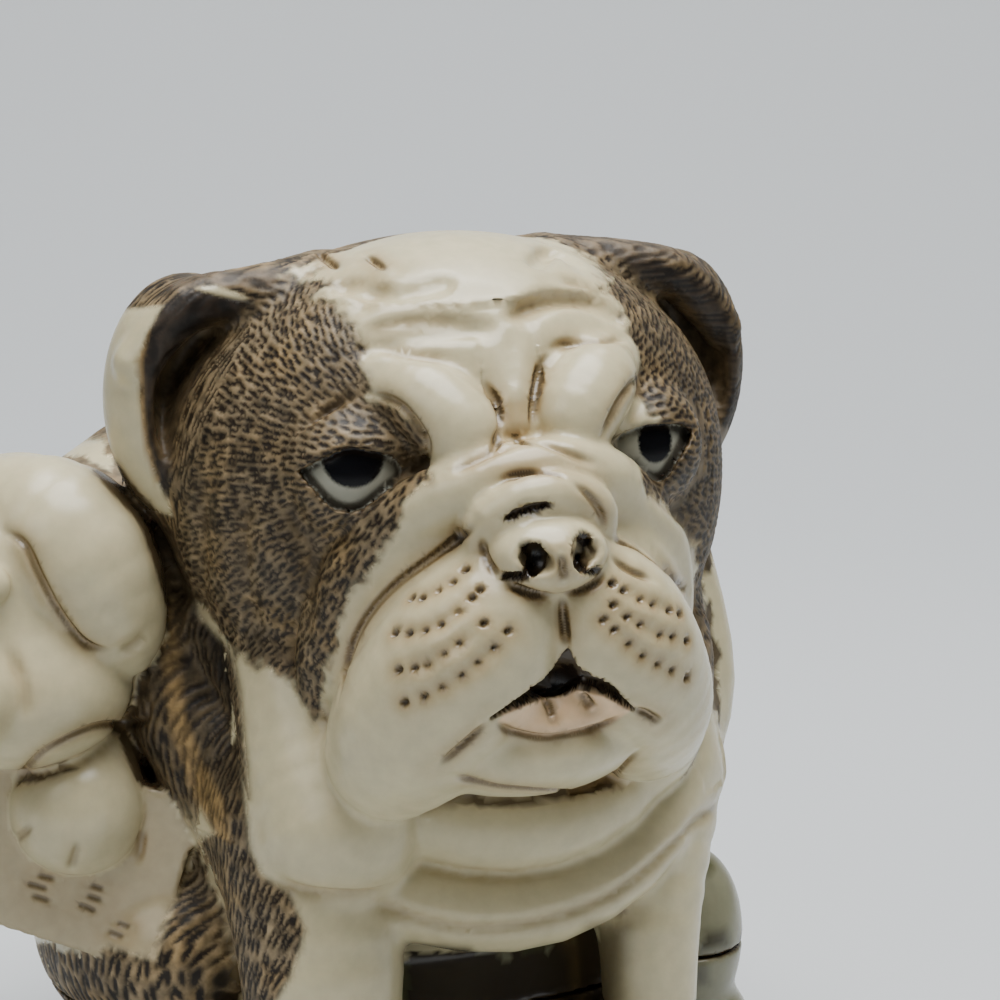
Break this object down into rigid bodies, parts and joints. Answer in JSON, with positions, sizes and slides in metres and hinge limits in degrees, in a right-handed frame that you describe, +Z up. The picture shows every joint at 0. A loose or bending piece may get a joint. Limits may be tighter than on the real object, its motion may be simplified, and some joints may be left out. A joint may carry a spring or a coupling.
{
  "type": "bulldog box figurine",
  "caption": "Cast resin trinket box shaped as a sitting bulldog with a smaller dog over its back; the dogs are a lift-off lid on an oval rocky foot.",
  "frame": {"origin": "centre of the flat oval underside", "axes": "+Z up, the big dog faces -Y, the small dog's head is on the -X side"},
  "size_m": [0.0729, 0.0674, 0.0705],
  "materials": {
    "cream_resin": "glossy cast resin, washed brown in the hollows",
    "stone_resin": "glossy cast resin, tinted grey-green like mossy rock"
  },
  "bodies": {
    "root": {"dogs_lid": "cream_resin", "box_base": "stone_resin"}
  },
  "joints": []
}
